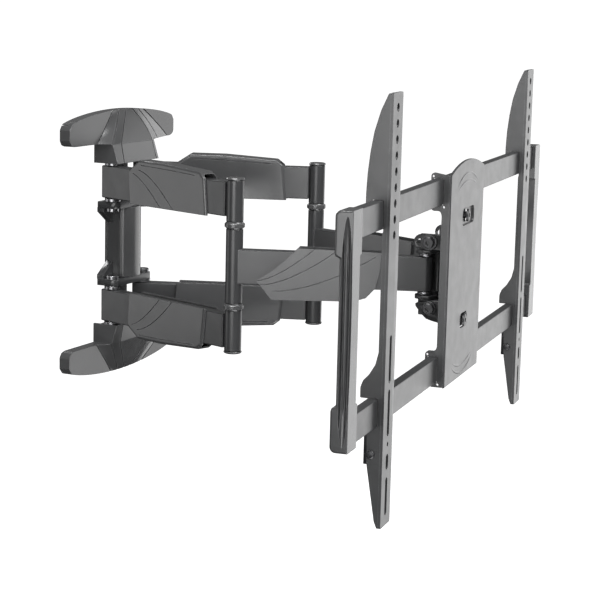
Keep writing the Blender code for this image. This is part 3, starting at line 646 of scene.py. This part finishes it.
def pin_profile(sign):
    """A hinge pin with a head and a nut, and a spacer collar over and under the arm."""
    half = ARM_H / 2
    levels = [(0.0, 107.8), (6.5, 107.8), (7.5, 106.8), (7.5, 103.8), (5.0, 103.8), (5.0, 99.2),
              (8.9, 99.2), (9.4, 98.7), (9.4, REAR_Z + half + 0.8), (8.9, REAR_Z + half + 0.3),
              (5.0, REAR_Z + half + 0.3), (5.0, REAR_Z - half - 0.3), (8.9, REAR_Z - half - 0.3),
              (9.4, REAR_Z - half - 0.8), (9.4, 51.8), (8.9, 51.3), (5.0, 51.3), (5.0, 42.7),
              (7.5, 42.7), (7.5, 39.7), (6.5, 38.7), (0.0, 38.7)]
    return flipped(levels, sign)


# ---------------------------------------------------------------- arms

GROOVE_R = 0.75
GROOVE_SUNK = 0.45            # how far a groove's middle lies under the surface


def hinge_post(low, high, x):
    """A round post with a small chamfer at both ends."""
    radius = 9.7
    chamfer = 0.8
    profile = [(0.0, high), (radius - chamfer, high), (radius, high - chamfer),
               (radius, low + chamfer), (radius - chamfer, low), (0.0, low)]
    return turned(profile, Matrix.Translation((mm(x), 0.0, 0.0)))


def show_rear_arm(side, level, sign):
    middle = sign * REAR_Z
    bar = block((-12.0, -ARM_T / 2, middle - ARM_H / 2), (206.0, ARM_T / 2, middle + ARM_H / 2))
    low, high = sorted((sign * 50.3, sign * 97.0))
    arm = joined([softened(bar, 1.5, 3), hinge_post(low, high, ARM_SPAN)])
    show("rear_arm_" + level + "_" + side, arm, REAR[side])


def groove(points, face):
    """A cutter for an undercut line on a cover's side, at face across the arm."""
    sunk = face - math.copysign(GROOVE_SUNK, face)
    return tube([(x, sunk, z) for x, z in points], GROOVE_R)


def falling_curve(start, end, power):
    """From start to end in (x, z), level at first and steeper towards the end."""
    steps = 20
    return [(start[0] + (end[0] - start[0]) * i / steps,
             start[1] + (end[1] - start[1]) * (i / steps) ** power) for i in range(steps + 1)]


def show_rear_cover(side, level, sign):
    """A shell with a ridge for cables; two curved grooves run down its outer side."""
    low = -ARM_H / 2 - 2.0
    outer = [(45.0, low), (179.0, low), (174.5, 21.0), (166.0, 27.5), (102.0, 31.5), (60.0, 31.5),
             (42.0, ARM_H / 2)]
    inner = [(30.0, -40.0), (200.0, -40.0), (200.0, 23.0), (165.0, 24.8), (102.0, 29.0),
             (62.0, 29.0), (59.0, ARM_H / 2 + ARM_CLEAR), (30.0, ARM_H / 2 + ARM_CLEAR)]
    half = COVER_T / 2
    room_half = ARM_T / 2 + ARM_CLEAR

    def on_ridge(first, second):
        along_face = abs(first.y - second.y) < 0.1
        high = min(sign * first.z, sign * second.z) > 18.0
        elbow_end = min(first.x, second.x) > 172.0
        return along_face and (high or elbow_end) and max(first.x, second.x) > 50.0

    def room_top(first, second):
        return abs(first.y - second.y) < 0.1 and min(sign * first.z, sign * second.z) > 21.0

    shell = plate([flipped(outer, sign)], -half, half, "XZ")
    shell = softened(shell, 3.6, 4, on_ridge)
    shell = softened(shell, 0.5, 2)
    room = plate([flipped(inner, sign)], -room_half, room_half, "XZ")
    room = softened(room, 3.0, 4, room_top)
    face = OUTER[side] * half
    curves = [falling_curve((50.0, 15.0), (101.0, low - 1.0), 1.4),
              falling_curve((60.0, 20.0), (123.0, low - 1.0), 1.55)]
    cutters = [room] + [groove([(x, sign * z) for x, z in points], face) for points in curves]
    rim = falling_curve((64.0, 25.8), (160.0, 22.5), 1.6)
    cutters += [groove([(x, sign * z) for x, z in rim], y) for y in (-half, half)]
    cover = combined(shell, cutters)
    show("arm_cover_" + level + "_" + side, cover, shifted(REAR[side], z=sign * REAR_Z))


def show_front_arm(side):
    """A flat bar with a rounded tip, and its part of the elbow post."""
    half_h = ARM_H / 2
    half_t = ARM_T / 2
    outline = [(2.0, -half_t)] + arc(ARM_SPAN, 0.0, half_t, -90.0, 90.0, 20) + [(2.0, half_t)]
    bar = softened(plate([outline], -half_h, half_h, "XY"), 1.5, 3)
    show("front_arm_" + side, joined([bar, hinge_post(-42.3, 42.3, 0.0)]), FRONT[side])


def show_front_cover(side):
    """A trough under the front arm, with a slanted leading edge and three sweeping lines."""
    outer = [(27.0, -14.0), (33.0, -21.5), (44.0, -35.0), (135.0, -33.5), (150.0, -29.0),
             (160.0, -18.0), (165.0, 4.0), (166.0, 22.5), (73.0, 24.0), (59.0, 9.5), (43.0, -4.0)]
    inner = [(0.0, 40.0), (0.0, -19.8), (41.0, -19.8), (46.0, -32.5), (134.0, -31.0),
             (147.0, -26.5), (154.0, -20.1), (200.0, -20.1), (200.0, 40.0)]
    half = COVER_T / 2

    def under(first, second):
        along_face = abs(first.y - second.y) < 0.1
        low = max(first.z, second.z) < -12.0
        return along_face and low and max(first.x, second.x) > 43.0

    shell = softened(plate([outer], -half, half, "XZ"), 5.0, 5, under)
    shell = softened(shell, 0.5, 2)
    room = plate([inner], -ARM_T / 2 - ARM_CLEAR, ARM_T / 2 + ARM_CLEAR, "XZ")
    face = OUTER[side] * half
    sweeps = [falling_curve((28.0, -14.0), (93.0, 25.0), 1.45),
              falling_curve((31.0, -18.5), (119.0, 25.0), 1.6),
              falling_curve((46.0, -25.0), (160.0, 18.0), 1.7)]
    cutters = [room] + [groove(points, face) for points in sweeps]
    show("front_cover_" + side, combined(shell, cutters), FRONT[side])


def show_elbow(side):
    """The elbow's two rings and two end caps."""
    place = shifted(REAR[side], x=ARM_SPAN)
    for level, sign in LEVELS:
        ring = [(5.3, 50.0), (9.6, 50.0), (10.0, 49.0), (10.9, 48.7), (11.5, 48.0), (11.5, 44.6),
                (10.9, 43.9), (10.0, 43.6), (9.6, 42.6), (5.3, 42.6), (5.3, 50.0)]
        cap = [(0.0, 99.9), (8.6, 99.9), (9.8, 99.4), (10.4, 98.6), (10.4, 97.9), (10.0, 97.3),
               (0.0, 97.3)]
        for part, profile in (("elbow_ring_", ring), ("elbow_cap_", cap)):
            show(part + level + "_" + side, turned(flipped(profile, sign)), place, RING_ANGLE)


# ---------------------------------------------------------------- screen side

def rail_room(middle):
    """The low and high corners, (y, z), of the opening that a rail passes through."""
    half = RAIL_HALF_H + RAIL_CLEAR
    return (RAIL_FRONT - RAIL_CLEAR, middle - half), (RAIL_BACK + RAIL_CLEAR, middle + half)


def show_side_bolt(name, side, y, z, washer_r):
    """A socket-headed bolt with a washer outside the bracket's wall."""
    profile = [(0.0, 53.3), (5.4, 53.3), (6.5, 52.4), (6.5, 48.8), (washer_r - 0.5, 48.8),
               (washer_r, 48.3), (washer_r, 46.8), (4.0, 46.8), (4.0, 38.7), (5.4, 38.7),
               (5.4, 34.7), (0.0, 34.7)]
    socket = turned([(0.0, 60.0), (3.0, 60.0), (3.0, 50.3), (0.0, 50.3)], None, 6)
    bolt = combined(turned(profile), [socket])
    bolt.transform(Matrix.Rotation(math.radians(90.0 * side), 4, "Y"))
    show(name, bolt, shifted(FACE, y=y, z=z), CRISP_ANGLE)


def show_level_bolt(name, z):
    """A socket-headed bolt through the screen plate and the tilt bracket."""
    profile = [(0.0, 4.7), (5.0, 4.7), (6.4, 4.2), (7.0, 3.2), (7.0, 2.2), (4.0, 2.2), (4.0, -5.7),
               (7.0, -5.7), (7.0, -9.7), (0.0, -9.7)]
    socket = turned([(0.0, 9.0), (2.8, 9.0), (2.8, 3.0), (0.0, 3.0)], None, 6)
    bolt = combined(turned(profile), [socket])
    bolt.transform(Matrix.Rotation(math.radians(90.0), 4, "X"))
    show(name, bolt, shifted(FACE, z=z), CRISP_ANGLE)


def plate_arc(radius, crown, half_width, sign):
    """An embossed rib on the screen plate, bowed towards the plate's end and sunk at its tips."""
    steps = 30
    highest = 0.9
    points = []
    for i in range(steps + 1):
        x = -half_width + 2 * half_width * i / steps
        depth = radius - math.sqrt(radius ** 2 - x ** 2)
        lift = highest * min(1.0, 4.0 * i / steps, 4.0 * (steps - i) / steps)
        points.append((x, 0.1 - lift, sign * (crown - depth)))
    return points


def show_screen_plate():
    """A face with an arched top, two windows and four ribs, and a side flange on both edges."""
    half = 75.0
    crown = 128.0
    rise = 12.0
    rib_r = 1.8
    arch_r = (half ** 2 + rise ** 2) / (2 * rise)
    swing = math.degrees(math.asin(half / arch_r))
    arch = arc(0.0, crown - arch_r, arch_r, 90.0 - swing, 90.0 + swing, 48)
    outline = [(-half, -118.0), (half, -118.0)] + arch
    upper = rounded_rectangle((-19.0, 55.0), (31.0, 73.5), 5.0)
    lower = rounded_rectangle((-13.0, -61.5), (15.0, -45.5), 5.0)

    def front_edge(first, second):
        return max(first.y, second.y) < -1.9

    face = softened(plate([outline, upper, lower], -2.0, 0.5, "XZ"), 1.8, 4, front_edge)
    ear = 21.0
    neck = 8.0
    flange = [(-1.0, -117.6), (14.0, -117.6), (ear, -112.0), (ear, -80.0), (18.0, -77.0),
              (neck + 2.0, -77.0), (neck, -73.0), (neck, 73.0), (neck + 2.0, 77.0), (18.0, 77.0),
              (ear, 80.0), (ear, 116.5), (18.0, 118.8), (-1.0, 115.6)]
    windows = []
    for sign in (-1, 1):
        middle = sign * RAIL_Z
        low, high = rail_room(middle)
        windows.append(rounded_rectangle(low, high, 0.8))
        windows.append(circle(18.6, middle + 16.6, 1.3, 14))
        windows.append(circle(6.0, middle - 16.6, 1.3, 14))
    meshes = [face]
    for side in (-1, 1):
        edges = sorted((side * (half - 0.2), side * (half - 2.7)))
        wall = plate([rounded_corners(flange, 3.0)] + windows, edges[0], edges[1], "YZ")
        meshes.append(softened(wall, 0.4, 2))
    for sign in (-1, 1):
        meshes.append(tube(plate_arc(117.0, 104.5, 55.0, sign), rib_r))
        meshes.append(tube(plate_arc(92.0, 113.0, 62.0, sign), rib_r))
    backing = plate([rounded_rectangle((-22.0, 52.0), (34.0, 76.5), 5.0), circle(19.0, 63.0, 6.0),
                     level_slot(-11.0, 11.0, 65.5, 7.4),
                     rounded_rectangle((-17.0, 57.0), (-12.5, 66.0), 1.5)], 0.4, 1.2, "XZ")
    meshes.append(backing)
    show("screen_plate", joined(meshes), HUNG)


def show_rail(level, sign):
    """A flat tube, open at both ends."""
    middle = sign * RAIL_Z
    past_end = RAIL_HALF + 12.0
    inner_half = RAIL_HALF_H - RAIL_WALL
    bar = block((-RAIL_HALF, RAIL_FRONT, middle - RAIL_HALF_H),
                (RAIL_HALF, RAIL_BACK, middle + RAIL_HALF_H))
    room = block((-past_end, RAIL_FRONT + RAIL_WALL, middle - inner_half),
                 (past_end, RAIL_BACK - RAIL_WALL, middle + inner_half))
    show("rail_" + level, combined(softened(bar, 1.2, 3), [room]), HUNG)


def show_upright(side, left_edge):
    """A slotted front strip with a hooked wall behind each long edge."""
    width = 33.0
    top = 215.5
    middle = width / 2
    wall_t = 2.0
    inset = 0.15                  # keeps the walls just inside the strip's edges
    hole_r = 4.3
    slot_r = 3.6
    first_hole = 201.0
    hole_step = 15.5
    face = rounded_rectangle((0.0, -top), (width, top), 2.0)
    holes = [circle(middle, first_hole - hole_step * i, hole_r) for i in range(9)]
    holes += [long_slot(middle, -70.5, -22.0, slot_r), long_slot(middle, -124.0, -76.5, slot_r),
              circle(middle, -132.0, 2.4), long_slot(middle, -158.0, -142.0, hole_r),
              long_slot(middle, -205.0, -166.0, slot_r)]

    def bend(first, second):
        """The long front edges, where the strip is bent back into its walls."""
        upright = abs(first.x - second.x) < 0.1 and abs(first.z - second.z) > 100.0
        return upright and max(first.y, second.y) < 0.1 and abs(first.x - middle) > middle - 1.0

    strip = softened(plate([face] + holes, 0.0, 3.0, "XZ"), 2.6, 6, bend)
    strip = softened(strip, 0.35, 2)
    hook = [(2.4, top - 0.4), (5.0, top - 0.4), (12.4, 198.5), (18.5, 178.0), (21.8, 158.5),
            (24.0, 138.0), (25.0, 118.0), (25.0, 103.3), (19.0, 103.3), (18.6, 112.3),
            (6.7, 112.3), (6.7, 82.0), (7.4, 80.0), (7.4, -37.0), (10.4, -49.5), (16.3, -59.5),
            (22.4, -66.0), (25.0, -73.0), (25.0, -83.7), (6.7, -83.7), (6.7, -112.3),
            (16.8, -112.3), (16.2, -152.0), (7.2, -208.0), (4.3, 0.4 - top), (2.4, 0.4 - top)]
    meshes = [strip]
    outline = [rounded_corners(hook, 1.2, 2), circle(12.5, -140.0, 2.8)]
    for low in (inset, width - inset - wall_t):
        wall = plate(outline, low, low + wall_t, "YZ")
        meshes.append(softened(wall, 0.4, 2))
    show("upright_" + side, joined(meshes), shifted(HUNG, x=left_edge))


def boat(place, radii):
    """A long pointed body, round across and tapered to both ends."""
    work = bmesh.new()
    bmesh.ops.create_uvsphere(work, u_segments=48, v_segments=64, radius=0.001)
    bmesh.ops.scale(work, vec=radii, verts=work.verts)
    bmesh.ops.translate(work, vec=[mm(value) for value in place], verts=work.verts)
    return to_mesh(work)


def show_end_cap(side, sign):
    """A handle over both rail ends, scooped out along its outer front corner, with a rib inside."""
    inner_x = 380.0
    outer_x = 409.0
    half = [(3.0, 114.0)] + arc(15.0, 108.0, 6.0, 90.0, 0.0, 8)
    half += [(21.0, 74.0), (20.0, 71.0), (15.8, 69.0)]
    outline = half + [(y, -z) for y, z in reversed(half)]
    edges = sorted((sign * inner_x, sign * outer_x))

    def outside(first, second):
        return min(sign * first.x, sign * second.x) > outer_x - 0.1 and max(first.y, second.y) > 4.0

    cap = softened(plate([outline], edges[0], edges[1], "YZ"), 2.6, 4, outside)
    cap = softened(cap, 0.7, 2)
    relief = sorted((sign * (inner_x - 5.0), sign * (inner_x + 5.5)))
    cutters = [softened(block((relief[0], -5.0, -71.0), (relief[1], 30.0, 71.0)), 2.0, 3)]
    cutters.append(boat((sign * (outer_x + 0.6), 8.4, 0.0), (5.4, 6.6, 109.0)))
    cutters.append(boat((sign * (outer_x - 2.0), 6.2, 0.0), (4.2, 1.9, 103.0)))
    cutters.append(boat((sign * (outer_x - 2.0), 12.2, 0.0), (4.2, 1.3, 100.0)))
    pocket = sorted((sign * (inner_x - 5.0), sign * (RAIL_HALF + RAIL_CLEAR)))
    for level in (-1, 1):
        low, high = rail_room(level * RAIL_Z)
        cutters.append(block((pocket[0], *low), (pocket[1], *high)))
    rib = boat((sign * (outer_x - 4.6), 9.4, 0.0), (2.4, 1.9, 98.0))
    show("end_cap_" + side, combined(combined(cap, cutters), [rib], "UNION"), HUNG)


# ---------------------------------------------------------------- studio

# Soft boxes: where each stands, its two sizes and its power in watts
PANELS = {
    # mirrored by the front faces of the screen side
    "key": ((2.6, -1.0, -0.2), (2.2, 2.2), 27.0),
    # lights the wall side from above, and isn't mirrored by upright bends
    "front": ((-0.6, -2.3, 1.6), (1.4, 1.4), 85.0),
    # mirrored by the outer sides of the left front arm and of the left rear arms
    "fill": ((-2.5, -0.6, 0.2), (1.4, 1.3), 31.0),
    "back_fill": ((-1.1, 2.3, 0.0), (1.3, 1.3), 9.0),
    # for views from behind
    "behind": ((1.5, 2.3, 1.3), (1.2, 1.2), 35.0),
    # lights the faces that look down
    "low_front": ((-0.45, -0.75, -0.95), (0.8, 0.8), 13.0),
    # a thin bright line along the top edges
    "top_strip": ((-0.9, -0.5, 2.3), (2.2, 0.35), 60.0),
}
PANEL_TARGET = Vector((0.0, -0.30, 0.0))


def add_camera():
    """The view from the room's left, a little above, turned slightly."""
    azimuth = math.radians(-64.48)
    elevation = math.radians(9.8)
    roll = math.radians(1.37)
    distance = 2.16743
    target = Vector((13.41, -250.0, -54.06)) * 0.001
    back = Vector((math.sin(azimuth) * math.cos(elevation),
                   -math.cos(azimuth) * math.cos(elevation), math.sin(elevation)))
    right = (-back).cross(Vector((0.0, 0.0, 1.0))).normalized()
    up = right.cross(-back)
    turned_right = right * math.cos(roll) + up * math.sin(roll)
    turned_up = up * math.cos(roll) - right * math.sin(roll)
    place = Matrix((turned_right, turned_up, back)).transposed().to_4x4()
    place.translation = target + back * distance
    data = bpy.data.cameras.new("camera")
    data.lens = 110.055
    data.sensor_width = 36.0
    camera = bpy.data.objects.new("camera", data)
    bpy.context.scene.collection.objects.link(camera)
    camera.matrix_world = place
    bpy.context.scene.camera = camera


def add_panel(name, place, size, power):
    """A soft rectangular light aimed at the object."""
    data = bpy.data.lights.new(name, "AREA")
    data.shape = "RECTANGLE"
    data.size, data.size_y = size
    data.energy = power
    light = bpy.data.objects.new(name, data)
    light.location = place
    aim = PANEL_TARGET - Vector(place)
    light.rotation_euler = aim.to_track_quat("-Z", "Y").to_euler()
    bpy.context.scene.collection.objects.link(light)


def add_floor():
    """A pale floor, well below the mount, that neither lights it nor shows in its gloss."""
    pale = (0.60, 0.60, 0.60, 1.0)
    work = bmesh.new()
    bmesh.ops.create_grid(work, x_segments=2, y_segments=2, size=400.0)
    floor = bpy.data.objects.new("floor", to_mesh(work))
    floor.location = (0.0, 0.0, -1.1)
    material = bpy.data.materials.new("floor")
    material.use_nodes = True
    shader = material.node_tree.nodes["Principled BSDF"]
    shader.inputs["Base Color"].default_value = pale
    shader.inputs["Emission Color"].default_value = (1.0, 1.0, 1.0, 1.0)
    shader.inputs["Emission Strength"].default_value = 1.0
    shader.inputs["Roughness"].default_value = 1.0
    shader.inputs["Specular IOR Level"].default_value = 0.0
    floor.data.materials.append(material)
    floor.visible_glossy = False
    floor.visible_diffuse = False
    bpy.context.scene.collection.objects.link(floor)


def add_sky():
    """Dim all round and darkest from below, so that bends and undersides stay dark."""
    world = bpy.data.worlds.new("studio")
    world.use_nodes = True
    tree = world.node_tree
    background = tree.nodes["Background"]
    place = tree.nodes.new("ShaderNodeTexCoord").outputs["Generated"]
    split = tree.nodes.new("ShaderNodeSeparateXYZ")
    link(tree, place, split.inputs["Vector"])
    light = value_range(tree, split.outputs["Z"], 0.01, 0.15, -0.30, 0.25)
    link(tree, light, background.inputs["Strength"])
    background.inputs["Color"].default_value = (1.0, 1.0, 1.0, 1.0)
    bpy.context.scene.world = world


# ---------------------------------------------------------------- assembly

for level, sign in LEVELS:
    show_wall_cover(level, sign)
    for side, point in ARM_POINTS.items():
        place = Matrix.Translation((point[0].x, point[0].y, 0.0))
        show("wall_pin_" + level + "_" + side, turned(pin_profile(sign)), place, CRISP_ANGLE)
        show_rear_arm(side, level, sign)
        show_rear_cover(side, level, sign)
    show_rail(level, sign)
show_column()
for side in ARM_POINTS:
    show_front_arm(side)
    show_front_cover(side)
    show_elbow(side)
for side, sign in OUTER.items():
    show_side_bolt("tilt_bolt_" + side, sign, 25.5, -37.0, 8.0)
    show_side_bolt("lock_bolt_" + side, sign, 28.0, 37.0, 9.0)
    show_end_cap(side, sign)
show_upright("left", -301.0)
show_upright("right", 299.0)
show_level_bolt("level_pivot_bolt", -55.0)
show_level_bolt("level_lock_bolt", 64.0)
show_screen_plate()
finish_cad_nodes()

add_camera()
for name, (place, size, power) in PANELS.items():
    add_panel(name, place, size, power)
add_floor()
add_sky()
bpy.context.scene.view_settings.view_transform = "Standard"
